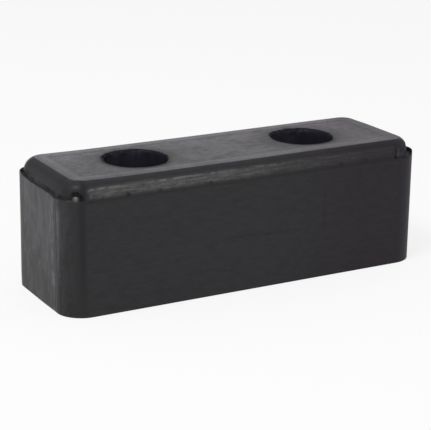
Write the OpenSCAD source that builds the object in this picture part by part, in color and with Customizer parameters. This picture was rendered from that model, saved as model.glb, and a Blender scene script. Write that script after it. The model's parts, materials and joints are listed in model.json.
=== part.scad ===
// Trailer buffer: a moulded rubber block with two counterbored bolt holes.
// Millimetres. The origin is the middle of the base, +X runs along the block
// and +Z points out of the working face. The front is the side towards -Y.

/* [Block] */

// Length over the parting edge
block_length = 210; // [180:1:260]
// Width over the parting edge
block_width = 72; // [64:0.5:100]
// Height of the working face above the base
block_height = 68.5; // [60:0.5:90]
// Radius of the upright corners at the parting edge
corner_radius = 14; // [12.5:0.5:20]
// How far each side leans in on its way down to the base
side_lean = 0.2; // [0.1:0.05:1]

/* [Crown] */

// Height of the crown above the parting edge
crown_height = 8.75; // [8:0.25:12]
// Width of the ledge left between the parting edge and the crown
ledge_width = 2.5; // [2:0.1:3.2]
// Lean of the crown's wall from upright, in degrees
crown_lean = 5; // [2:0.5:8]
// Radius of the shoulder between the crown's wall and the working face
shoulder_radius = 7.5; // [6:0.25:7.75]
// Slope of the shoulder where it meets the flat face, in degrees
shoulder_break = 15; // [5:1:20]

/* [Bolt holes] */

// Distance between the two bolt holes
hole_pitch = 100; // [80:1:120]
// Diameter of the counterbore for the bolt's head and washer
counterbore_diameter = 33.5; // [28:0.5:36]
// Depth of the counterbore below the working face
counterbore_depth = 45; // [30:0.5:50]
// Rounding of the counterbore's mouth
mouth_rounding = 1.2; // [0.5:0.1:2]
// Diameter of the bolt
bolt_diameter = 16; // [12:1:18]
// Clearance round the bolt, on the radius
bolt_clearance = 0.75; // [0.4:0.05:1]

/* [Moulding flash] */

// Height of the thin lip that stands on the parting edge at the ends
lip_height = 1.1; // [0.6:0.1:2]
// Thickness of the lip at its root
lip_root = 1.1; // [0.8:0.05:1.4]
// Thickness of the lip at its crest
lip_crest = 0.55; // [0.3:0.05:0.7]
// How far the lip runs on past a corner along the long side
lip_tail = 2.8; // [1:0.1:4]
// Length of lip torn off before the front left corner
lip_tear = 4; // [2:0.25:10]
// Slope of the torn end of the lip from level, in degrees
tear_slope = 20; // [12:1:45]
// Height of the trimmed band's lower edge above the parting edge
band_rise = 1.3; // [0.8:0.1:2.5]
// Drop from the working face to the trimmed band's upper edge
band_drop = 3.5; // [3:0.1:4.5]
// Gap between the trimmed band's end and the corner
band_gap = 4.5; // [4.2:0.1:8]
// How far the trimmed band turns into the front left corner, in degrees
band_wrap = 18; // [8:1:24]
// Size of the stub of flash left at the front left corner
stub_size = 2.6; // [1.5:0.1:3]
// Turn of the stub round the corner from the end face, in degrees
stub_turn = 57; // [45:1:60]

/* [Hidden] */

$fn = 96;

// Half distances between the axes of the upright corners.
axis_x = block_length / 2 - corner_radius;
axis_y = block_width / 2 - corner_radius;

// Levels and radii of the section, measured out from a corner's axis.
parting_z = block_height - crown_height;
foot_r = corner_radius - ledge_width;
shoulder_z = block_height - shoulder_radius * cos(shoulder_break);
wall_top_z = shoulder_z + shoulder_radius * sin(crown_lean);
wall_top_r = foot_r - (wall_top_z - parting_z) * tan(crown_lean);
shoulder_r = wall_top_r - shoulder_radius * cos(crown_lean);
flat_r = shoulder_r + shoulder_radius * sin(shoulder_break);

// The trimmed band lies between the front of the block and the shoulder.
band_low_z = parting_z + band_rise;
band_top_z = block_height - band_drop;
band_top_r = shoulder_r + sqrt(pow(shoulder_radius, 2) - pow(band_top_z - shoulder_z, 2));

// Flash is rooted this deep in the block so that it is one piece with it.
root_depth = 1;
// Cutting shapes run past the surfaces they cut by this much.
overrun = 1;

bolt_hole_diameter = bolt_diameter + 2 * bolt_clearance;
counterbore_radius = counterbore_diameter / 2;

// Half of the block's cross section, from a corner's axis outwards.
module block_section() {
    polygon([
        [0, 0],
        [corner_radius - side_lean, 0],
        [corner_radius, parting_z],
        [foot_r, parting_z],
        [wall_top_r, wall_top_z],
        [shoulder_r, shoulder_z],
        [flat_r, block_height],
        [0, block_height]
    ]);
    intersection() {
        translate([shoulder_r, shoulder_z])
            circle(r = shoulder_radius);
        square([corner_radius, block_height]);
    }
}

module lip_section() {
    polygon([
        [corner_radius - lip_root, parting_z - root_depth],
        [corner_radius - side_lean, parting_z - root_depth],
        [corner_radius, parting_z],
        [corner_radius, parting_z + lip_height],
        [corner_radius - lip_crest, parting_z + lip_height],
        [corner_radius - lip_root, parting_z]
    ]);
}

module band_section() {
    polygon([
        [shoulder_r, parting_z - root_depth],
        [corner_radius - side_lean, parting_z - root_depth],
        [corner_radius, parting_z],
        [corner_radius, band_low_z],
        [band_top_r, band_top_z],
        [shoulder_r, band_top_z]
    ]);
}

// A section turned round the back right corner from its end face, by an angle.
module round_corner(angle) {
    translate([axis_x, axis_y, 0])
        rotate_extrude(angle = angle)
            children();
}

// A section drawn along the right end, from the back corner's axis forwards.
module along_end(length) {
    translate([axis_x, axis_y, 0])
        rotate([90, 0, 0])
            linear_extrude(length)
                children();
}

// A section drawn along the back, between two positions on X.
module along_back(from_x, to_x) {
    translate([from_x, axis_y, 0])
        rotate([90, 0, 90])
            linear_extrude(to_x - from_x)
                children();
}

module solid_block() {
    for (end = [0, 1])
        mirror([end, 0, 0]) {
            along_end(2 * axis_y)
                block_section();
            for (side = [0, 1])
                mirror([0, side, 0])
                    round_corner(90)
                        block_section();
        }
    for (side = [0, 1])
        mirror([0, side, 0])
            along_back(-axis_x, axis_x)
                block_section();
    translate([-axis_x, -axis_y, 0])
        cube([2 * axis_x, 2 * axis_y, block_height]);
}

// The lip round one corner, with its short tail along the long side.
module corner_lip() {
    round_corner(90)
        lip_section();
    along_back(axis_x - lip_tail, axis_x)
        lip_section();
}

module right_lip() {
    along_end(2 * axis_y)
        lip_section();
    for (side = [0, 1])
        mirror([0, side, 0])
            corner_lip();
}

// The left lip is torn off on a slope before it reaches the front corner.
module left_lip() {
    mirror([1, 0, 0]) {
        corner_lip();
        difference() {
            along_end(2 * axis_y)
                lip_section();
            translate([axis_x, -axis_y, parting_z])
                rotate([tear_slope, 0, 0])
                    translate([0, -overrun, 0])
                        cube([corner_radius + overrun, lip_tear + overrun, corner_radius]);
        }
    }
}

// Flash fills the ledge along both long sides and is trimmed to a bevel. At
// the front the band runs on to the left and turns a little into the corner.
module trimmed_bands() {
    along_back(band_gap - axis_x, axis_x - band_gap)
        band_section();
    mirror([0, 1, 0]) {
        along_back(-axis_x, axis_x - band_gap)
            band_section();
        mirror([1, 0, 0])
            difference() {
                round_corner(90)
                    band_section();
                translate([axis_x, axis_y, 0])
                    rotate(90 - band_wrap)
                        translate([0, -2 * corner_radius, 0])
                            cube([2 * corner_radius, 2 * corner_radius, block_height]);
            }
    }
}

// A stub of flash left standing where the front left corner was torn.
module corner_stub() {
    translate([-axis_x, -axis_y, parting_z])
        rotate(180 + stub_turn)
            translate([corner_radius - lip_root, -stub_size / 2, -root_depth])
                cube([lip_crest, stub_size, root_depth + stub_size]);
}

// One counterbored hole, with the rounding of its mouth.
module bolt_hole() {
    translate([0, 0, -overrun])
        cylinder(d = bolt_hole_diameter, h = block_height);
    translate([0, 0, block_height - counterbore_depth])
        cylinder(r = counterbore_radius, h = counterbore_depth + overrun);
    rotate_extrude()
        difference() {
            translate([counterbore_radius - overrun, block_height - mouth_rounding])
                square([mouth_rounding + overrun, mouth_rounding + overrun]);
            translate([counterbore_radius + mouth_rounding, block_height - mouth_rounding])
                circle(r = mouth_rounding);
        }
}

module buffer_block() {
    color([0.09, 0.09, 0.1])
        difference() {
            union() {
                solid_block();
                right_lip();
                left_lip();
                trimmed_bands();
                corner_stub();
            }
            for (end = [-1, 1])
                translate([end * hole_pitch / 2, 0, 0])
                    bolt_hole();
        }
}

buffer_block();
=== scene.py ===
import functools
import itertools
import json
import math

import bpy
import numpy as np
from mathutils import Matrix, Vector
from mathutils.geometry import delaunay_2d_cdt


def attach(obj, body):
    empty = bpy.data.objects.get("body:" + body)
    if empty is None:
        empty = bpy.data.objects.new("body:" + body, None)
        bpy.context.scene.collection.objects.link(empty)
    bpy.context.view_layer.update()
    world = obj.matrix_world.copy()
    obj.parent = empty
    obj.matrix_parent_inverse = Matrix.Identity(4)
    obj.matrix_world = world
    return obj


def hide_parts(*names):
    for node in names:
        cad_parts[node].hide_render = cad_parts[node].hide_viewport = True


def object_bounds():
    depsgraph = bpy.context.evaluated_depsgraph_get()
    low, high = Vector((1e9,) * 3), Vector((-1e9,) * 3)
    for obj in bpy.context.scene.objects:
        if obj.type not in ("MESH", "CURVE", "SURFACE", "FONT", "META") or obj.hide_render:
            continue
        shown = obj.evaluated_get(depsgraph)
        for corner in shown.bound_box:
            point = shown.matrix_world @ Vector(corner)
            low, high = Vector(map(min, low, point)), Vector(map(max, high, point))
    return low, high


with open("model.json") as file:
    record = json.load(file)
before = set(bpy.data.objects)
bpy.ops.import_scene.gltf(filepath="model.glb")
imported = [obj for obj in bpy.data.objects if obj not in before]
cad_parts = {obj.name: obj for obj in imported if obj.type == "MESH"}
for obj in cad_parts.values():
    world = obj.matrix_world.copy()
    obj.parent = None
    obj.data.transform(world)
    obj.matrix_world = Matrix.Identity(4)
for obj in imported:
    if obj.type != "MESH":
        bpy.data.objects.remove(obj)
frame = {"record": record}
cad_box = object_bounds()
mounts = {mount["name"]: mount["dims"] for mount in frame["record"]["mounts"]}

# Sizes are in millimetres until a mesh is made. The block's half length, half width and height and
# the sizes of its holes come from the frame, and the others repeat the part's source
MM = 0.001
HALF_LENGTH, HALF_WIDTH, HEIGHT = (round(reach / MM, 3) for reach in cad_box[1])
HOLE_X = mounts["bolt_holes"]["spacing_x_mm"] / 2
BOLT = mounts["bolt_holes"]["hole_r_mm"]
BORE = mounts["left_counterbore"]["r_mm"]
BORE_DEPTH = 45.0
CORNER = 14.0
SIDE_LEAN = 0.2
CROWN_HEIGHT = 8.75
LEDGE_WIDTH = 2.5
WALL_LEAN = math.radians(5)
SHOULDER = 7.5
BREAK = math.radians(15)
LIP_TAIL = 2.8
STUB_TURN = 57
BAND_DROP = 3.5

# The corners' upright axes, the parting edge, the counterbores' floor, and the crown's foot from an axis
AXIS_X = HALF_LENGTH - CORNER
AXIS_Y = HALF_WIDTH - CORNER
PARTING = HEIGHT - CROWN_HEIGHT
BORE_FLOOR = HEIGHT - BORE_DEPTH
CROWN_FOOT = CORNER - LEDGE_WIDTH

# Half the size of the flat face
FACE_X = AXIS_X + 5.8
FACE_Y = AXIS_Y + 6.2

# The shoulder's centre, and where the flat face begins, from a corner's axis
SHOULDER_Z = HEIGHT - SHOULDER * math.cos(BREAK)
WALL_TOP_Z = SHOULDER_Z + SHOULDER * math.sin(WALL_LEAN)
SHOULDER_R = CROWN_FOOT - (WALL_TOP_Z - PARTING) * math.tan(WALL_LEAN) - SHOULDER * math.cos(WALL_LEAN)
FLAT_R = SHOULDER_R + SHOULDER * math.sin(BREAK)

# The rings round a hole have this many points, and meet the rest of the face this far from its middle
RING_POINTS = 144
COLLAR = BORE + 5.4

# Distances walked round the block, from the front's left end and counterclockwise
LONG = 2 * AXIS_X
SHORT = 2 * AXIS_Y
BEND = CORNER * math.pi / 2
HALF_WAY = LONG + SHORT + 2 * BEND
ALL_ROUND = 2 * HALF_WAY
LEFT_CORNER = ALL_ROUND - BEND
LEFT_END = LEFT_CORNER - SHORT

# The front band starts and ends here, and its end is cut on a slant of this length
BAND_START = ALL_ROUND - 4.6
BAND_END = LONG - 4.2
SLANT = 2.6

# Numbers that scatter the places of a lattice into noise of so many levels. The offset keeps
# the places above zero
SCATTER = np.array([73856093, 19349663, 83492791], np.uint64)
SEED_SCATTER = 2654435761
STIR = np.uint64(1274126177)
LATTICE_OFFSET = 4096
NOISE_LEVELS = 65536

# Edges that turn more than this are sharp
SHARP = math.radians(38)


def ramp(value, low, high):
    """0 below low, 1 above high, and a smooth rise between them."""
    part = np.clip((value - low) / (high - low), 0, 1)
    return part * part * (3 - 2 * part)


def window(value, rise_from, rise_to, fall_from, fall_to):
    """0 outside a range and 1 inside it, with a smooth rise and fall."""
    return ramp(value, rise_from, rise_to) * (1 - ramp(value, fall_from, fall_to))


def hump(value, middle, half):
    """1 in the middle, and 0 from half its width away."""
    return 1 - ramp(np.abs(value - middle), 0, half)


def stretch(start, end, soft_start, soft_end):
    """1 at the stations from start to end of the walk, with soft ends."""
    ahead = (walked - start) % ALL_ROUND
    length = (end - start) % ALL_ROUND
    return window(ahead, 0, soft_start, length - soft_end, length)


def table(value, *pairs):
    """The reading at a value, from pairs of (value, reading) with straight lines between them."""
    values, readings = zip(*pairs)
    return np.interp(value, values, readings)


def noise(points, size, seed):
    """Smooth noise from -1 to 1 with lumps of that size, which may differ by axis."""
    grid = np.asarray(points, float) / size
    cell = np.floor(grid).astype(np.int64)
    part = grid - cell
    part = part * part * (3 - 2 * part)
    total = np.zeros(grid.shape[:-1])
    for step in itertools.product((0, 1), repeat=3):
        lattice = (cell + step + LATTICE_OFFSET).astype(np.uint64)
        mixed = np.bitwise_xor.reduce(lattice * SCATTER, axis=-1) ^ np.uint64(seed * SEED_SCATTER)
        mixed = (mixed ^ (mixed >> np.uint64(13))) * STIR
        mixed = (mixed ^ (mixed >> np.uint64(16))) % np.uint64(NOISE_LEVELS)
        weight = np.prod(np.where(step, part, 1 - part), axis=-1)
        total += weight * (mixed / ((NOISE_LEVELS - 1) / 2) - 1)
    return total


def rough(points, size, seed):
    """Noise in three octaves."""
    sizes = np.asarray(size, float)
    return sum(noise(points, sizes / 2 ** k, seed + k) / 2 ** k for k in range(3)) / 1.75


def spaced(stops):
    """Positions along the walk from (start, spacing) pairs, where the last start is the end."""
    found = []
    for (start, step), (end, _) in zip(stops, stops[1:]):
        count = max(1, round((end - start) / step))
        found.append(start + (end - start) * np.arange(count) / count)
    return np.concatenate(found)


def walk(distances):
    """The point of a corner's axis line beside each station, and the direction outwards."""
    part = distances % HALF_WAY
    turned = np.clip(part - LONG, 0, BEND) + np.clip(part - LONG - BEND - SHORT, 0, BEND)
    angle = turned / CORNER - math.pi / 2
    inside = np.stack([np.clip(part, 0, LONG) - AXIS_X, np.clip(part - LONG - BEND, 0, SHORT) - AXIS_Y], -1)
    away = np.stack([np.cos(angle), np.sin(angle)], -1)
    side = np.where(distances >= HALF_WAY, -1, 1)[:, None]
    return inside * side, away * side


# Stations round the block, closer together where the flash is torn or cut
walked = spaced([
    (0, 0.35), (6, 0.5), (LONG - 8, 0.2), (LONG + 8, 0.35), (LONG + 24, 0.5), (HALF_WAY - BEND, 0.8),
    (LEFT_END - BEND, 0.4), (LEFT_CORNER, 0.3), (LEFT_CORNER + 9, 0.2), (ALL_ROUND, 0.2),
])
inside, away = walk(walked)
rim = np.column_stack([inside + away * CORNER, np.full(len(walked), PARTING)])
even = np.ones(len(walked))

# The long sides, the place along them, and the turn round the front left corner in degrees, -90 elsewhere
front = (walked < LONG) | (walked > ALL_ROUND - 8)
back = (walked > HALF_WAY) & (walked < HALF_WAY + LONG)
along = np.where(front, rim[:, 0], np.where(walked < HALF_WAY, AXIS_X, -AXIS_X - 3))
turn = np.where(walked > LEFT_CORNER - 12, np.degrees((walked - LEFT_CORNER) / CORNER), -90)

# Height of the lip: whole at the ends, torn down at the front left corner
LEAST_LIP = 0.03
nub = stretch(LEFT_CORNER + 11.1, LEFT_CORNER + 16.0, 1.9, 1.3)
shard = stretch(LEFT_CORNER + 7.8, LEFT_CORNER + 12.6, 1.6, 1.2)
right_lip = 1.05 * stretch(LONG - LIP_TAIL, HALF_WAY + 3, 6.5, 1.5) * (0.86 + 0.14 * noise(rim, 5, 1))
right_lip += 0.7 * stretch(LONG + 11, LONG + 32, 4, 8) - 0.72 * stretch(LONG - 0.5, LONG + 11.5, 2.5, 4)
left_lip = 0.85 * stretch(LEFT_END - BEND - 3, LEFT_CORNER - 0.5, 1.5, 6) * (0.8 + 0.2 * noise(rim, 4, 2))
left_lip += 1.05 * stretch(LEFT_END - 17, LEFT_END + 3, 5, 4)
torn_lip = 0.45 * stretch(LEFT_CORNER + 4, LEFT_CORNER + 12, 2.5, 1.0) * (0.75 + 0.25 * noise(rim, 2, 3))
lip = LEAST_LIP + right_lip + left_lip + torn_lip
lip = np.maximum.reduce([lip, 2.6 * nub, 0.9 * shard, LEAST_LIP * even])

# Rubber torn out of the crown behind the stub, and the mould's joint beside the corner
pit = stretch(LEFT_CORNER + 8.8, LEFT_CORNER + 18, 4.2, 4.0) * (1 + 0.3 * noise(rim, 1.4, 12))
open_ledge = stretch(LEFT_CORNER + 14.8, LEFT_CORNER + 19.2, 1.4, 2.0)
joint = 0.08 * hump(turn, 14, 2.2) - 0.12 * hump(turn, -2.5, 2.2)

# The back left corner has drawn in towards the top
hollow = stretch(LEFT_END - BEND - 16, LEFT_END + 14, 14, 12)

# The left end stands a little further out at its foot
flare = stretch(LEFT_END - 12, LEFT_CORNER - 2, 10, 16)

# The flat face reaches a little further out along the front and the right end
wider = 0.7 * stretch(-8, HALF_WAY - BEND, 12, 14)

# The trimmed band's lower edge on the side, its nicks as (place, half width, depth), and its crease
band_low = PARTING + 1.15 + 0.22 * noise(rim, 17, 4) + 0.16 * noise(rim, 3.5, 5) + 0.5 * ramp(along, 62, 76)
nick = 0.3 * ramp(noise(rim, 2.6, 6), 0.45, 0.8)
for place, half, depth in (
    (-85, 1.2, 0.5), (-71.3, 2.2, 1), (-54, 2.6, 0.6), (-25.5, 1.8, 0.7), (52.5, 1.8, 0.7), (68, 1.5, 0.6),
):
    nick = np.maximum(nick, depth * hump(walked - AXIS_X, place, half))
crease_z = HEIGHT - BAND_DROP + 0.07 * noise(rim, 9, 7) - 0.25 * ramp(-along, 30, 60)
crease_r = SHOULDER_R + np.sqrt(SHOULDER ** 2 - (crease_z - SHOULDER_Z) ** 2)
burr = ramp(noise(rim, 1.9, 8), -0.5, 0.35) * ramp(noise(rim, 17, 9), -0.6, 0.2)
burr *= 1 - 0.8 * ramp(along, -20, 25)

# Painted light and shade with some dirt on the crown, and film with painted highlights on the sides, which
# change most round the front left corner
facing_end = np.abs(away[:, 0])
# Painted light and shade on the crown round the front left corner, by how far it has turned
corner_light_and_shade = table(
    turn, (-49, 0.6), (-20, 0.62), (-10, 0.7), (0, 0.66), (6, 0.4), (12, 0.22), (18, 0.15), (24, 0.12),
    (30, 0.05), (40, 0.02), (62, 0.1), (68, 0.3), (78, 0.3), (90, 0.1),
)
crown_shade_and_dirt = np.where(turn > -49, corner_light_and_shade, 0.05 + 0.55 * ramp(facing_end, 0.8, 1))
# Film round the front left corner, with painted highlights where it turns
corner_film_and_highlights = table(
    turn, (-40, 0.62), (-31, 0.5), (-23, 0.9), (-12, 1.45), (-8, 1.25), (-5, 0.6), (-2, 0.15), (1, 0),
    (4, 0.15), (7, 0.55), (10, 1.2), (13, 1.1), (16, 0.72), (19, 0.4), (23, 0.24), (38, 0.2), (50, 0.1),
    (60, 0.02), (74, 0), (84, 0.16), (90, 0.17),
)
long_sides = np.maximum(stretch(-8, LONG + 8, 1, 13), stretch(HALF_WAY - 8, HALF_WAY + LONG + 8, 13, 13))
plain_film = np.maximum(0.62 * ramp(facing_end, 0.96, 0.999), 0.17 * long_sides)
side_film_and_highlights = 0.36 * np.where(turn > -40, corner_film_and_highlights, plain_film)


def band_at(share):
    """How far flash fills the ledge, where share is 0 at its lower edge and 1 at its crease."""
    at_front = stretch(BAND_START + 0.5 * share, BAND_END + SLANT * share, 6.0, 0.6)
    at_back = stretch(HALF_WAY + 4.5, LEFT_END - BEND - 4.5, 0.8, 0.8)
    return np.maximum(at_front, at_back)


def sink(x, y):
    """How far the face has sunk in the mould, most left of the middle."""
    return 0.38 * ramp(x, -100, -62) * (1 - 0.78 * ramp(x, -15, 60 + 28 * ramp(y, -20, 20)))


def drawn_in(height):
    """How far the crown is drawn in at a height, which it is at the right end's foot."""
    return 0.5 * stretch(LONG + 5, LONG + 44, 7, 14) * (1 - ramp(height, 63.5, 66.5))


def shoulder(degrees):
    """Radius and height of the shoulder at an angle from level."""
    angle = math.radians(degrees)
    return SHOULDER_R + SHOULDER * math.cos(angle), SHOULDER_Z + SHOULDER * math.sin(angle)


def bare_rows():
    """Rows over the ledge where it is open: up the lip, over its crest and on to the shoulder."""
    rows = []
    outer = CORNER - 0.35 * nub - 0.47 * hollow
    for inset, share in (
        (0, 0), (0, 0.4), (0.02, 0.75), (0.12, 0.95), (0.32, 1), (0.52, 0.93), (0.72, 0.55), (1.0, 0.1),
    ):
        rows.append((outer - inset, PARTING - 0.3 + (lip + 0.3) * share))
    for beyond, rise in ((1.0, -0.08), (0.4, -0.1), (0.02, 0.0), (-0.08, 0.3), (-0.1, 0.8)):
        on_crown = beyond < 0.5
        rows.append((CROWN_FOOT + beyond - drawn_in(PARTING) * on_crown, (PARTING + rise) * even))
    for degrees in (-2, 3, 8, 12.5, 17, 22):
        radius, height = shoulder(degrees)
        torn = pit * window(height, 60.6, 61.6, 61.2 + 1.4 * pit, 62.6 + 2.1 * pit)
        rows.append((radius - 1.3 * torn - drawn_in(height), height * even))
    return rows


def band_rows():
    """As many rows where flash fills the ledge: radius, height and share of the way up to its crease."""
    rows = [
        (CORNER * even, (PARTING - 0.45) * even, 0.0),
        (CORNER * even, band_low - 1.0, 0.0),
        (CORNER - 0.02 - 0.1 * nick, band_low - 0.5, 0.0),
        (CORNER - 0.08 - 0.3 * nick, band_low - 0.15, 0.0),
    ]
    start = CORNER - 0.12
    for share in (0.04, 0.09, 0.15, 0.22, 0.29, 0.37, 0.45, 0.53, 0.61, 0.69, 0.77, 0.85, 0.93):
        torn = 0.1 * rough(rim + [0, 0, 30 * share], (4, 4, 6), 11) * math.sin(math.pi * share) ** 0.5
        torn = torn + 0.25 * nick * (share < 0.12)
        radius = start - (start - crease_r) * share ** 1.12 - torn
        rows.append((radius, band_low + (crease_z - band_low) * share - torn, share))
    rows.append((crease_r + 0.08 + 0.14 * burr, crease_z - 0.1 + 0.04 * burr, 1.0))
    rows.append((crease_r - 0.04 + 0.1 * burr, crease_z + 0.06 + 0.14 * burr, 1.0))
    return rows


def skin():
    """Rows from the foot to the flat face as points, and where the ledge, the shoulder and the face begin."""
    rows = []
    for inset, height in ((0.5, 0.0), (0.28, 0.03), (0.2, 0.15), (0.18, 0.6)):
        rows.append((CORNER - inset + flare * (inset - 0.01), height * even))
    for height in (2, 5, 9, 13.5, 18, 23, 28, 33, 38, 43, 48, 52, 55, 57, 58.4):
        slack = hollow * (0.62 * height / PARTING - 0.15)
        wall = CORNER - SIDE_LEAN * (1 - height / PARTING) + joint * ramp(height, 0, 4) - slack
        rows.append((np.minimum(wall + 0.18 * flare * (1 - ramp(height, 0, 34)), CORNER), height * even))
    ledge_from = len(rows)
    for (radius, height), (cut_radius, cut_height, share) in zip(bare_rows(), band_rows(), strict=True):
        band = band_at(share)
        rows.append((radius + (cut_radius - radius) * band, height + (cut_height - height) * band))
    shoulder_from = len(rows)
    sunk = sink(rim[:, 0], rim[:, 1])
    for degrees in (31.5, 35, 40, 45, 50, 55, 60, 65, 70, 74):
        radius, height = shoulder(degrees)
        spread = wider * ramp(degrees, 45, 76) - drawn_in(height)
        rows.append((radius + spread, height * even - sunk * ramp(height, 65, HEIGHT)))
    face_from = len(rows)
    for radius, drop in ((FLAT_R, 0.02), (FLAT_R - 0.25, 0), (5.0, 0), (4.2, 0)):
        rows.append((radius + wider, HEIGHT - drop - sunk))
    radius, height = (np.array(part) for part in zip(*rows))
    points = np.concatenate([inside + away * radius[..., None], height[..., None]], -1)
    return points, ledge_from, shoulder_from, face_from


class Sheet:
    """Collects the points, faces and painted values of one mesh."""

    # Film with painted light, wear with a painted sheen, painted shade with dirt, a pale burr with painted
    # highlights at edges, and the holes' insides
    PAINTS = ("bloom", "wear_and_sheen", "dirt", "edge", "well")

    def __init__(self):
        self.points = []
        self.faces = []
        self.count = 0
        self.paint = {name: [] for name in self.PAINTS}

    def add(self, points, **paint):
        """Adds points with their painted values and returns their numbers."""
        points = np.asarray(points, float).reshape(-1, 3)
        self.points.append(points)
        for name in self.PAINTS:
            self.paint[name].append(np.broadcast_to(np.ravel(paint.get(name, 0.0)), (len(points),)))
        self.count += len(points)
        return np.arange(self.count - len(points), self.count)

    def join(self, lower, upper):
        """Joins two closed rings of as many points with quads."""
        self.faces += np.stack([lower, np.roll(lower, -1), np.roll(upper, -1), upper], -1).tolist()

    def fill(self, outline, holes, inner, upwards):
        """Fills between an outline and round holes, given as (ring, centre x, radius), with triangles."""
        rings = [outline] + [ring for ring, _, _ in holes]
        numbers = np.concatenate(rings + [inner]).astype(int)
        places = np.concatenate(self.points)[numbers, :2]
        edges = []
        start = 0
        for ring in rings:
            ids = start + np.arange(len(ring))
            edges += np.stack([ids, np.roll(ids, -1)], -1).tolist()
            start += len(ring)
        inside_only = 1
        shortest = 1e-6
        result = delaunay_2d_cdt([Vector(p) for p in places], edges, [], inside_only, shortest)
        triangles, origins = result[2:4]
        for triangle in triangles:
            ids = [origins[corner][0] for corner in triangle]
            a, b, c = places[ids]
            middle = (a + b + c) / 3
            if any(math.hypot(middle[0] - x, middle[1]) < radius for _, x, radius in holes):
                continue
            counterclockwise = (b[0] - a[0]) * (c[1] - a[1]) > (b[1] - a[1]) * (c[0] - a[0])
            if counterclockwise != upwards:
                ids.reverse()
            self.faces.append([int(numbers[i]) for i in ids])

    def mesh(self, name):
        """The mesh in metres, smooth but for its sharp edges."""
        mesh = bpy.data.meshes.new(name)
        mesh.from_pydata((np.concatenate(self.points) * MM).tolist(), [], self.faces)
        for paint, parts in self.paint.items():
            values = mesh.attributes.new(paint, "FLOAT", "POINT")
            values.data.foreach_set("value", np.concatenate(parts).astype(np.float32))
        mesh.shade_smooth()
        mesh.set_sharp_from_angle(angle=SHARP)
        mesh.validate()
        return mesh


def painted(row, ledge_from, shoulder_from, face_from):
    """Painted values of a row of the skin."""
    if row < ledge_from:
        return side_paint(row, row == ledge_from - 1)
    if row < shoulder_from:
        return ledge_paint(row - ledge_from)
    if row < face_from:
        return shoulder_paint(row - shoulder_from)
    return {"bloom": even}


def side_paint(row, under_lip):
    """Film with painted highlights on the sides, with painted shade up the front left corner and just under
    the lip at the front right.
    """
    up_corner = 0.25 * hump(turn, 69, 10) * ramp(row, 5, 11)
    at_lip = 0.15 * stretch(LONG + 1, LONG + 10, 3, 3) * under_lip
    return {"bloom": side_film_and_highlights, "dirt": np.maximum(up_corner, at_lip)}


def ledge_paint(step):
    """Scuffed flash with a painted sheen where it fills the ledge, a pale burr and painted highlights, and
    painted shade where the ledge is open.
    """
    share = np.clip((step - 3.5) / 14, 0, 1)
    slant = SLANT * share
    band = band_at(share)
    bare = 1 - band
    # Along the front the band is paler towards the left: scuffed flash, partly a painted sheen
    fade = 0.22 * back + front * table(
        along, (-95.5, 0), (-92, 0.36), (-86, 0.8), (-60, 0.93), (-5, 0.82), (20, 0.42), (50, 0.33),
        (70, 0.2), (95, 0.15),
    )
    rubbed = table(
        share, (0, 0.42), (0.1, 0.48), (0.3, 0.68), (0.55, 0.82), (0.7, 0.66), (0.85, 0.86), (1, 0.68),
    )
    scuff_and_sheen = band * ramp(step, 0, 6) * fade * rubbed * (1 - 0.7 * nick * (step < 7))
    # The torn stub's crest: pale where it is worn, with a painted glint
    stub = np.maximum(nub, 0.4 * shard) * window(step, 0, 2, 6, 8)

    # Painted shade with some dirt up the crown's wall, a little more at the left end
    wall = crown_shade_and_dirt + 0.15 * stretch(LEFT_END - 8, LEFT_END + 16, 6, 14) * (1 - ramp(step, 16, 18))
    less_shade_outside = 1 - (1 - ramp(step, 2.5, 4)) * (0.35 + 0.5 * ramp(walked, LONG + 5, LONG + 9))
    dirt = [
        # Painted shade on the ledge and up the crown's wall, and where the ledge bends round the front left
        # corner
        0.16 * bare * window(step, 5, 8, 9, 11) + wall * bare * ramp(step, 13, 16),
        0.62 * window(turn, -8, 1, 10, 26) * window(step, 9, 11, 13, 15),
        # Painted shade in the pit behind the stub, on the ledge between the stub and the band, and under the
        # band's start
        0.5 * pit * window(step, 7, 11, 12 + 2 * pit, 14 + 3 * pit),
        0.8 * open_ledge * window(step, 9.5, 12, 15, 17),
        0.2 * stretch(ALL_ROUND - 7, 1.5, 2, 2) * (1 - ramp(step, 3, 6)),
        # Painted shade beyond the cut that ends the front band, and a little before it
        0.4 * bare * stretch(LONG - 4.4 + slant, LONG - 2.2 + slant, 0.5, 1.4),
        0.22 * stretch(LONG - 6 + slant, LONG - 3.4 + slant, 1.2, 0.4) * ramp(step, 4, 8),
        # Painted shade on the lip at the front right, inside the lip at the back left, and in the band's
        # nicks
        0.85 * stretch(LONG - 0.5, LONG + 31, 3, 5) * (1 - ramp(step, 7, 10)) * less_shade_outside,
        0.25 * stretch(LEFT_END - 17, LEFT_END + 2, 3, 4) * window(step, 2.5, 4, 7, 10),
        0.5 * nick * band * window(step, 0, 2, 5, 8),
    ]
    edge = [
        # A pale burr with painted highlights on the band's feathered crease, and painted highlights on the
        # crown's wall beside its cut end and on the stub's crest
        np.where(front, 0.62, 0.15) * band * burr * ramp(step, 14.5, 17),
        0.24 * bare * (step > 10) * hump(walked, LONG - 0.1, 1.4),
        stub * hump(turn, STUB_TURN, 6),
    ]
    # Painted light at the foot of the crown's wall where the ledge is open, which lifts the shade there
    ledge_painted_light = 0.27 * (1 - ramp(turn, -8, 1)) * window(step, 8, 11, 13, 16)
    return {
        "bloom": (side_film_and_highlights * (1 - ramp(step, 1, 5)) + ledge_painted_light) * bare,
        "wear_and_sheen": np.maximum(scuff_and_sheen, 0.5 * stub),
        "dirt": np.maximum.reduce(dirt),
        "edge": np.maximum.reduce(edge),
    }


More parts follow.
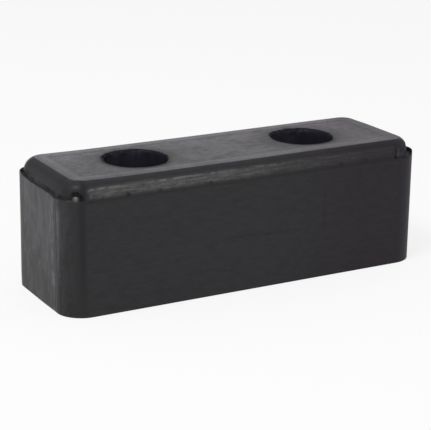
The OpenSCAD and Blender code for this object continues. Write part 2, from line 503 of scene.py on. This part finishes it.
def shoulder_paint(above):
    """Painted light and shade with some dirt and a trace of film on the shoulder, which is scuffed, with a
    painted sheen, a little above the front band.
    """
    scuff_and_sheen = band_at(1) * front * table(along, (-92, 0.2), (-80, 0.55), (0, 0.4), (95, 0.15))
    return {
        "bloom": (0.03 + 0.05 * ramp(above, 2, 7)) * even,
        "wear_and_sheen": scuff_and_sheen * max(0, 1 - 0.4 * above),
        "dirt": crown_shade_and_dirt,
    }


def build_block():
    """The whole block as one closed skin."""
    sheet = Sheet()
    points, *starts = skin()
    rings = [sheet.add(ring, **painted(row, *starts)) for row, ring in enumerate(points)]
    for lower, upper in zip(rings, rings[1:]):
        sheet.join(lower, upper)
    mouths = []
    feet = []
    for x in (-HOLE_X, HOLE_X):
        mouth, foot = bolt_hole(sheet, x)
        mouths.append((mouth, x, COLLAR))
        feet.append((foot, x, BOLT))
    places = face_places()
    inner = sheet.add(np.column_stack([places, face_height(*places.T)]), bloom=1)
    sheet.fill(rings[-1], mouths, inner, True)
    sheet.fill(rings[0], feet, np.arange(0), False)
    return sheet.mesh("moulded_block")


def face_places():
    """Places on the flat face outside the collars: a grid, and two closer rows along its border."""
    grid = 2.4
    closer = 1.5
    clear = COLLAR + 0.6
    places = [(x, y) for x in np.arange(-93.6, 93.7, grid) for y in np.arange(-24, 24.1, grid)]
    for inset in (5.6, 6.6):
        reach_x = FACE_X - inset
        reach_y = FACE_Y - inset
        places += [(x, side * reach_y) for x in np.arange(-reach_x, reach_x, closer) for side in (-1, 1)]
        places += [(side * reach_x, y) for y in np.arange(-reach_y, reach_y, closer) for side in (-1, 1)]
    return np.array([(x, y) for x, y in places if math.hypot(abs(x) - HOLE_X, y) > clear])


def face_height(x, y):
    """Height of the flat face, a little lower inside its border."""
    inset = np.minimum(FACE_X - np.abs(x), FACE_Y - np.abs(y))
    waves = 0.03 * noise(np.column_stack([x, y, 0 * x]), (24, 16, 1), 21)
    return HEIGHT - sink(x, y) - (0.07 + waves) * ramp(inset, 5.5, 6.7)


def mouth_rounding(wall, around, ragged, front_left):
    """How much a hole's mouth is rounded at each point round it: most at its front and back, and torn."""
    around_x, around_y, _ = around.T
    teeth = ramp(noise(wall, 1.3, 36), -0.05, 0.4) * (1 - ramp(front_left, 0.2, 0.7))
    teeth = teeth * (1 - ramp(around_x, 0.55, 0.85))
    rounding = 0.85 + 0.4 * front_left + 0.4 * np.maximum(ragged, 0) + 0.9 * teeth
    at_left = np.where(wall[:, 0] < 0, 0.25, -0.45)
    rounding = rounding - 0.45 * ramp(around_x, 0.4, 0.95) + at_left * ramp(-around_x, 0.45, 1)
    return rounding + 0.6 * ramp(around_y, 0.3, 0.8) + 0.6 * ramp(-around_y, 0.4, 0.9)


def bolt_hole(sheet, x):
    """The counterbore, its seat and the bolt's hole. Returns the rings at its collar and at the base."""
    angle = np.arange(RING_POINTS) * 2 * math.pi / RING_POINTS
    around = np.stack([np.cos(angle), np.sin(angle), 0 * angle], -1)
    around_x, around_y, _ = around.T
    centre = np.array([x, 0, 0])
    wall = centre + around * BORE
    front_left = 0.5 - 0.5 * (around_x * 0.48 + around_y * 0.88)
    ragged = rough(wall, 2.4, 31) * (1 - 0.7 * front_left)
    rounding = mouth_rounding(wall, around, ragged, front_left)

    def ring(radius, height, **paint):
        """Adds a ring of points round the hole, and returns their numbers."""
        points = centre + around * np.reshape(radius, (-1, 1))
        points[:, 2] = height
        return sheet.add(points, **paint)

    rings = []
    mouth = BORE + rounding
    # Painted shade round the mouth, most on its front left side, with the film taken off there
    rim_shade = 0.2 + 0.8 * ramp(front_left, 0.3, 0.8)
    for radius, dark in (
        (np.full(RING_POINTS, COLLAR), 0), (mouth + 2.1, 0.4 * rim_shade), (mouth + 1.4, 0.8 * rim_shade),
        (mouth + 0.7, rim_shade), (mouth + 0.1, 1),
    ):
        surface = face_height(x + radius * around_x, radius * around_y)
        rings.append(ring(radius, surface, bloom=1 - dark, dirt=0.75 * dark))
    # Painted shade down the mouth's rounding, more on its left side
    left = ramp(-around_x, 0.3, 0.6)
    for degrees in (8, 25, 45, 65, 85):
        bend = math.radians(degrees)
        radius = BORE + 0.55 * ragged + rounding * (1 - math.sin(bend))
        dirt = 0.7 - 0.45 * ramp(degrees, 20, 85) * (1 - left) + 0.3 * left
        rings.append(ring(radius, surface - rounding * (1 - math.cos(bend)), dirt=dirt, well=1))

    # The counterbore's wall with its flow marks, streaks of film with painted light on its left side and
    # painted shade on its right, then its seat and the bolt's hole
    flow = 0.05 * noise(wall, 1.6, 33) - 0.03
    streaks = np.maximum(0, 0.02 + 0.1 * rough(wall, (4.5, 4.5, 1), 35)) + 0.1 * hump(around_x, -0.42, 0.4)
    for height in (66, 64, 61, 57, 52, 46, 40, 34, 28, 24):
        rings.append(ring(BORE + flow, height, bloom=streaks, dirt=0.38 * ramp(around_x, 0.15, 0.6), well=1))
    for radius, height in (
        (BORE - 0.4, BORE_FLOOR), (BOLT + 0.3, BORE_FLOOR), (BOLT, BORE_FLOOR - 0.3), (BOLT, 12), (BOLT, 0),
    ):
        rings.append(ring(radius, height, well=1))
    for upper, lower in zip(rings, rings[1:]):
        sheet.join(upper, lower)
    return rings[0], rings[-1]


class Nodes:
    """Short calls that build a node tree."""

    def __init__(self, tree):
        self.tree = tree

    @functools.cached_property
    def place(self):
        """A point's place on its object, in metres."""
        return self.new("ShaderNodeTexCoord").outputs["Object"]

    def new(self, kind, **values):
        """A node with its properties set."""
        node = self.tree.nodes.new(kind)
        for name, value in values.items():
            setattr(node, name, value)
        return node

    def plug(self, socket, value):
        """Links an output to a socket, or sets the socket to a plain value."""
        if isinstance(value, bpy.types.NodeSocket):
            self.tree.links.new(value, socket)
        else:
            socket.default_value = value

    def wire(self, node, *pairs):
        """Plugs values into a node's sockets, from pairs of (name or number, value). Returns the node."""
        for socket, value in pairs:
            self.plug(node.inputs[socket], value)
        return node

    def math(self, operation, a, b=0.0, c=0.0):
        """A maths node's result."""
        node = self.new("ShaderNodeMath", operation=operation)
        return self.wire(node, (0, a), (1, b), (2, c)).outputs[0]

    def product(self, *values):
        """The values multiplied together."""
        return functools.reduce(lambda a, b: self.math("MULTIPLY", a, b), values)

    def remap(self, value, low, high, to_low=0.0, to_high=1.0):
        """A value moved from one range to another and kept within it."""
        node = self.new("ShaderNodeMapRange")
        self.wire(node, ("Value", value), ("From Min", low), ("From Max", high))
        return self.wire(node, ("To Min", to_low), ("To Max", to_high)).outputs["Result"]

    def between(self, factor, a, b):
        """A value between two values."""
        return self.wire(self.new("ShaderNodeMix"), (0, factor), (2, a), (3, b)).outputs[0]

    def mix(self, factor, a, b, blend="MIX"):
        """A colour between two colours, or with another blend of the second."""
        node = self.new("ShaderNodeMix", data_type="RGBA", blend_type=blend)
        return self.wire(node, (0, factor), (6, a), (7, b)).outputs[2]

    def paint(self, name):
        """A value painted on the mesh."""
        return self.new("ShaderNodeAttribute", attribute_name=name).outputs["Fac"]

    def split(self, vector):
        """A vector's three parts."""
        return tuple(self.wire(self.new("ShaderNodeSeparateXYZ"), (0, vector)).outputs)

    def away_from(self, a, a_place, b, b_place):
        """Distance in a plane from a place."""
        a = self.math("SUBTRACT", a, a_place)
        b = self.math("SUBTRACT", b, b_place)
        return self.math("SQRT", self.math("MULTIPLY_ADD", a, a, self.math("MULTIPLY", b, b)))

    def grain(self, lump, detail=4.0, roughness=0.55, distortion=0.0):
        """Noise with lumps of that size in millimetres, given for each axis."""
        scale = [1 / (size * MM) for size in lump]
        mapping = self.wire(self.new("ShaderNodeMapping"), ("Vector", self.place), ("Scale", scale))
        texture = self.new("ShaderNodeTexNoise")
        self.wire(texture, ("Vector", mapping.outputs["Vector"]), ("Scale", 1.0))
        self.wire(texture, ("Detail", detail), ("Roughness", roughness), ("Distortion", distortion))
        return texture.outputs["Fac"]


# Colours of the rubber and of what lies on it, with the near black of painted shade
RUBBER = (0.0285, 0.0281, 0.0298, 1)
FILM_AND_LIGHT = (0.137, 0.131, 0.148, 1)
SCUFF_AND_SHEEN = (0.17, 0.17, 0.167, 1)
BURR_AND_GLINT = (0.19, 0.19, 0.184, 1)
SHADE_AND_DIRT = (0.005, 0.0035, 0.0085, 1)

# Tints of the right half, which also carry painted shade, the right end and the holes
WHITE = (1, 1, 1, 1)
WARM_SHADE = (0.88, 0.79, 0.85, 1)
COOL_END = (1.12, 1.04, 1.2, 1)
COOL_HOLE = (0.92, 0.92, 1.15, 1)

# Faint creases on the front: whether they run across or up, their place and half width,
# where they start and end, and how dark they are
CREASES = (
    ("across", 29.6, 1.3, -19, 8, 0.17),
    ("across", 28.9, 1.3, 4, 28, 0.17),
    ("up", 43, 1.4, 22, 53, 0.16),
    ("across", 12.6, 1.0, -25, -10, 0.12),
    ("across", 40.5, 1.0, 8, 22, 0.12),
    ("up", -96.5, 0.9, 8, 16, 0.22),
)

# Patches where the face is darker or lighter: their place, radius and change
PATCHES = (
    (96, 26.5, 6, -1.3), (28, -5, 9, -0.85), (31, -15, 8, -0.5), (-31, -15, 6, -0.5), (71, 3, 5, -0.5),
    (87, 18, 11, -0.5), (-72, -25, 6, -0.3), (-86, 17, 11, 0.45), (30, 21, 8, 0.5), (77, 6, 5, 0.4),
    (-63, 16, 7, 0.4), (43, 19.5, 8, 0.38),
)


def front_creases(nodes, x, z):
    """Dark in the faint creases left on the front where the rubber flowed together."""
    dark = 0.0
    for direction, middle, half, start, end, depth in CREASES:
        beside, length = (z, x) if direction == "across" else (x, z)
        away = nodes.math("ABSOLUTE", nodes.math("SUBTRACT", beside, middle))
        crease = nodes.product(
            nodes.remap(away, 0.1, half, depth, 0.0), nodes.remap(length, start, start + 3),
            nodes.remap(length, end - 3, end, 1.0, 0.0),
        )
        dark = nodes.math("MAXIMUM", dark, crease)
    broken = nodes.remap(nodes.grain((2.5, 2.5, 2.5), 3, 0.6), 0.38, 0.6, 0.2, 1.3)
    return nodes.math("MULTIPLY", dark, broken)


def patched(nodes, x, y):
    """How much of the face's film there is, scaled down or up in darker and lighter patches."""
    thickness = 1.0
    for centre_x, centre_y, size, change in PATCHES:
        away = nodes.away_from(x, centre_x, y, centre_y)
        thickness = nodes.math("ADD", thickness, nodes.remap(away, 0.2 * size, size, change, 0.0))
    return nodes.math("MAXIMUM", thickness, 0.0)


def face_film(nodes, x, y, inset, border, patchy):
    """The film on the face, with a smooth pale border, and darker to the left and right of the holes."""
    rubbed = nodes.product(nodes.remap(x, -80, -45, 0.45, 0.0), nodes.remap(y, -28, -24.5, 1.0, 0.0))
    strip = nodes.product(
        nodes.remap(inset, 1, 4.5, 0.53, 0.67), nodes.remap(x, 80, 93, 1.0, 0.5),
        nodes.remap(x, -98, -92, 0.7, 0.92), nodes.math("SUBTRACT", 1.0, rubbed),
        nodes.remap(patchy, 0.4, 1.6, 0.68, 1.3),
    )
    across = nodes.math("SUBTRACT", nodes.math("ABSOLUTE", x), HOLE_X)
    away = nodes.away_from(across, 0.0, y, 0.0)
    beside = nodes.math("DIVIDE", nodes.math("ABSOLUTE", across), away)
    halo = nodes.product(
        nodes.remap(away, 17.5, 28, 1.1, 0.0), nodes.remap(beside, 0.4, 0.95, 0.25, 1.0),
        nodes.remap(x, -60, -40, 0.35, 1.0), nodes.remap(nodes.grain((8, 8, 8), 2, 0.5), 0.38, 0.6, 0.6, 1.3),
    )
    field = nodes.product(patchy, 0.36, nodes.remap(halo, 0, 1, 1, 0), nodes.remap(inset, 6.5, 11, 0.6, 1.0))
    lighter_behind = nodes.remap(y, 8, 26, 1.0, 1.7)
    return nodes.product(nodes.between(border, field, strip), lighter_behind, patched(nodes, x, y))


def scuffs(nodes, wear_and_sheen):
    """Pale scuffs with a painted sheen along the trimmed flash, in long streaks and small blotches."""
    streaks = nodes.remap(nodes.grain((11, 11, 0.7), 4, 0.7), 0.38, 0.6)
    blotches = nodes.remap(nodes.grain((2.2, 2.2, 1.6), 4, 0.7), 0.36, 0.62)
    streaks = nodes.math("MULTIPLY_ADD", streaks, 0.42, 0.23)
    return nodes.product(streaks, nodes.math("MULTIPLY_ADD", blotches, 0.6, 0.8), wear_and_sheen)


def tinted(nodes, colour, x, well):
    """The right half is a little warmer, and darker with painted shade, and the right end and the holes are
    bluer.
    """
    tint = nodes.mix(nodes.remap(x, 5, 65), WHITE, WARM_SHADE)
    tint = nodes.mix(nodes.remap(x, 90, 98), tint, COOL_END)
    return nodes.mix(1.0, colour, nodes.mix(well, tint, COOL_HOLE), "MULTIPLY")


def roughness(nodes, x, z, fine, dirt, wear_and_sheen):
    """The rubber is a little glossy, and more matt under painted shade and dirt, where it is scuffed, and at
    the right end.
    """
    matt = nodes.math("MAXIMUM", nodes.remap(fine, 0.35, 0.65, 0.31, 0.39), nodes.product(dirt, 0.6))
    matt = nodes.math("MULTIPLY_ADD", wear_and_sheen, 0.12, matt)
    right_end = nodes.product(
        nodes.remap(x, 84, 96, 0.0, 0.64), nodes.remap(z, 67.4, 68.3, 1.0, 0.0),
        nodes.remap(z, 59.5, 61.5, 0.74, 1.0),
    )
    return nodes.math("MAXIMUM", matt, right_end)


def rubber_material():
    """Black moulded rubber with a grey film on its ends and face, pale trimmed flash, and painted light and
    shade.
    """
    material = bpy.data.materials.new("moulded_rubber")
    material.use_nodes = True
    nodes = Nodes(material.node_tree)
    bloom, wear_and_sheen, dirt, edge, well = (nodes.paint(name) for name in Sheet.PAINTS)
    normal = nodes.split(nodes.new("ShaderNodeNewGeometry").outputs["Normal"])
    ends = nodes.remap(nodes.math("ABSOLUTE", normal[0]), 0.35, 0.7)
    face = nodes.remap(normal[2], 0.9, 0.98)
    x, y, z = (nodes.math("DIVIDE", part, MM) for part in nodes.split(nodes.place))
    inset_x = nodes.math("SUBTRACT", FACE_X, nodes.math("ABSOLUTE", x))
    inset_y = nodes.math("SUBTRACT", FACE_Y, nodes.math("ABSOLUTE", y))
    inset = nodes.math("MINIMUM", inset_x, inset_y)
    border = nodes.remap(inset, 4.7, 7.1, 1.0, 0.0)

    # Grain of the film: smeared on the face, in drips down the ends and in level bands on the sides
    smears = nodes.grain((5, 3.4, 3.4), 6, 0.7)
    drips = nodes.grain((6, 5, 11), 5, 0.6, 0.6)
    clouds = nodes.grain((26, 20, 20), 2, 0.5)
    fine = nodes.grain((0.9, 0.9, 0.9), 3, 0.6)
    bands = nodes.grain((7, 7, 2.2), 4, 0.65)
    patchy = nodes.math("MULTIPLY_ADD", fine, 0.25, nodes.math("MULTIPLY_ADD", clouds, 0.6, smears))
    patchy = nodes.remap(patchy, 0.8, 1.05, 0.25, 1.75)
    streaked = nodes.remap(nodes.math("MULTIPLY_ADD", fine, 0.35, drips), 0.56, 0.8, 0.22, 1.72)
    # Painted shade on the ends: less film towards the foot, so darker near the floor
    streaked = nodes.math("SUBTRACT", streaked, nodes.remap(z, 3, 30, 0.85, 0.0))
    flow = nodes.remap(nodes.math("MULTIPLY_ADD", fine, 0.3, bands), 0.51, 0.79, 0.5, 1.5)

    # The film and painted light lie on the rubber, with scuffed flash and its painted sheen, a pale burr with
    # painted highlights, and painted shade with dirt over it
    on_sides = nodes.between(ends, flow, nodes.math("MAXIMUM", streaked, 0.0))
    on_face = face_film(nodes, x, y, inset, border, patchy)
    scuff_and_sheen = scuffs(nodes, wear_and_sheen)
    creases = nodes.product(front_creases(nodes, x, z), nodes.remap(normal[1], -0.93, -0.99))
    dirt = nodes.math("MAXIMUM", dirt, creases)
    # Film and painted light share the film's grey
    colour = nodes.mix(nodes.product(bloom, nodes.between(face, on_sides, on_face)), RUBBER, FILM_AND_LIGHT)
    colour = nodes.mix(scuff_and_sheen, colour, SCUFF_AND_SHEEN)
    colour = nodes.mix(nodes.product(edge, 0.9), colour, BURR_AND_GLINT)
    colour = nodes.mix(dirt, colour, SHADE_AND_DIRT)

    # The film's grain, the scuffs and the face's border stand out a little
    grain = nodes.between(ends, nodes.between(face, flow, smears), drips)
    height = nodes.math("MULTIPLY_ADD", grain, nodes.product(bloom, 0.3), nodes.product(fine, 0.12))
    height = nodes.math("MULTIPLY_ADD", scuff_and_sheen, 0.5, height)
    height = nodes.math("MULTIPLY_ADD", nodes.product(border, face), 0.3, height)
    bump = nodes.new("ShaderNodeBump")
    nodes.wire(bump, ("Strength", 0.6), ("Distance", 0.2 * MM), ("Height", height))
    nodes.wire(
        material.node_tree.nodes["Principled BSDF"], ("Base Color", tinted(nodes, colour, x, well)),
        ("Roughness", roughness(nodes, x, z, fine, dirt, wear_and_sheen)), ("Specular IOR Level", 0.08),
        ("Normal", bump.outputs["Normal"]),
    )
    return material


def place_block():
    """The block stands for its CAD solid."""
    block = bpy.data.objects.new("moulded_block", build_block())
    bpy.context.scene.collection.objects.link(block)
    block.data.materials.append(rubber_material())
    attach(block, "root")
    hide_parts("buffer_block")


def white_for_views(nodes, shaded, white, share):
    """White where the camera or a reflection sees it, mixed with the shaded surface by share."""
    rays = nodes.new("ShaderNodeLightPath").outputs
    seen = nodes.math("MAXIMUM", rays["Is Camera Ray"], rays["Is Glossy Ray"])
    seen = nodes.math("MAXIMUM", seen, rays["Is Transmission Ray"])
    mix = nodes.new("ShaderNodeMixShader")
    nodes.wire(mix, (0, nodes.product(seen, share)), (1, shaded.outputs[0]), (2, white.outputs[0]))
    return mix.outputs[0]


def make_floor():
    """A wide plain pale floor that keeps the block's soft shadow."""
    half = 6000 * MM
    mesh = bpy.data.meshes.new("floor")
    corners = [(-half, -half, 0), (half, -half, 0), (half, half, 0), (-half, half, 0)]
    mesh.from_pydata(corners, [], [(0, 1, 2, 3)])
    floor = bpy.data.objects.new("floor", mesh)
    bpy.context.scene.collection.objects.link(floor)
    floor.location.z = -0.2 * MM
    material = bpy.data.materials.new("pale_floor")
    material.use_nodes = True
    nodes = Nodes(material.node_tree)
    nodes.tree.nodes.remove(nodes.tree.nodes["Principled BSDF"])
    matt = nodes.wire(nodes.new("ShaderNodeBsdfDiffuse"), ("Color", (0.92, 0.92, 0.92, 1)))
    glow = nodes.new("ShaderNodeEmission")
    nodes.plug(nodes.tree.nodes["Material Output"].inputs["Surface"], white_for_views(nodes, matt, glow, 0.8))
    mesh.materials.append(material)


def light_scene():
    """A white room with a soft lamp up on the left, in front of the block."""
    world = bpy.data.worlds.new("white_room")
    world.use_nodes = True
    nodes = Nodes(world.node_tree)
    dim = nodes.wire(nodes.tree.nodes["Background"], ("Color", WHITE), ("Strength", 0.6))

    # What the camera and reflections see darkens with height
    rise = nodes.split(nodes.new("ShaderNodeTexCoord").outputs["Generated"])[2]
    bright = nodes.new("ShaderNodeBackground")
    nodes.wire(bright, ("Color", WHITE), ("Strength", nodes.remap(rise, 0.15, 0.5, 1.0, 0.5)))
    surface = nodes.tree.nodes["World Output"].inputs["Surface"]
    nodes.plug(surface, white_for_views(nodes, dim, bright, 1.0))
    bpy.context.scene.world = world

    lamp = bpy.data.lights.new("overhead_lamp", "AREA")
    lamp.shape = "DISK"
    lamp.size = 0.45
    lamp.energy = 8
    holder = bpy.data.objects.new("overhead_lamp", lamp)
    holder.location = (-0.65, -0.30, 1.22)
    holder.rotation_mode = "QUATERNION"
    holder.rotation_quaternion = (-holder.location).to_track_quat("-Z", "Y")
    bpy.context.scene.collection.objects.link(holder)


# The camera as it was fitted to the photograph: the picture's width and the focal length in pixels,
# the angles in degrees, and in millimetres the distance from the point that the camera looks at,
# and that point's place to the right of the block's middle and above its base
PHOTO_WIDTH = 431
FOCAL = 1505.895
AZIMUTH = -28.8010
ELEVATION = 17.2040
ROLL = 0.5603
DISTANCE = 808.166
TARGET_RIGHT = -2.696
TARGET_HEIGHT = 30.367
SENSOR_WIDTH = 36


def place_camera():
    """The camera looks at the block as it does in the photograph."""
    azimuth = math.radians(AZIMUTH)
    elevation = math.radians(ELEVATION)
    roll = math.radians(ROLL)
    level = math.cos(elevation)
    back = Vector((math.sin(azimuth) * level, -math.cos(azimuth) * level, math.sin(elevation)))
    right = Vector((math.cos(azimuth), math.sin(azimuth), 0))
    up = back.cross(right)
    place = (right * TARGET_RIGHT + Vector((0, 0, TARGET_HEIGHT)) + back * DISTANCE) * MM
    camera = bpy.data.cameras.new("camera")
    camera.sensor_width = SENSOR_WIDTH
    camera.lens = SENSOR_WIDTH * FOCAL / PHOTO_WIDTH
    holder = bpy.data.objects.new("camera", camera)
    bpy.context.scene.collection.objects.link(holder)
    x_axis = right * math.cos(roll) + up * math.sin(roll)
    y_axis = up * math.cos(roll) - right * math.sin(roll)
    holder.matrix_world = Matrix.Translation(place) @ Matrix((x_axis, y_axis, back)).transposed().to_4x4()
    bpy.context.scene.camera = holder


place_camera()
place_block()
make_floor()
light_scene()
bpy.context.scene.view_settings.view_transform = "Standard"
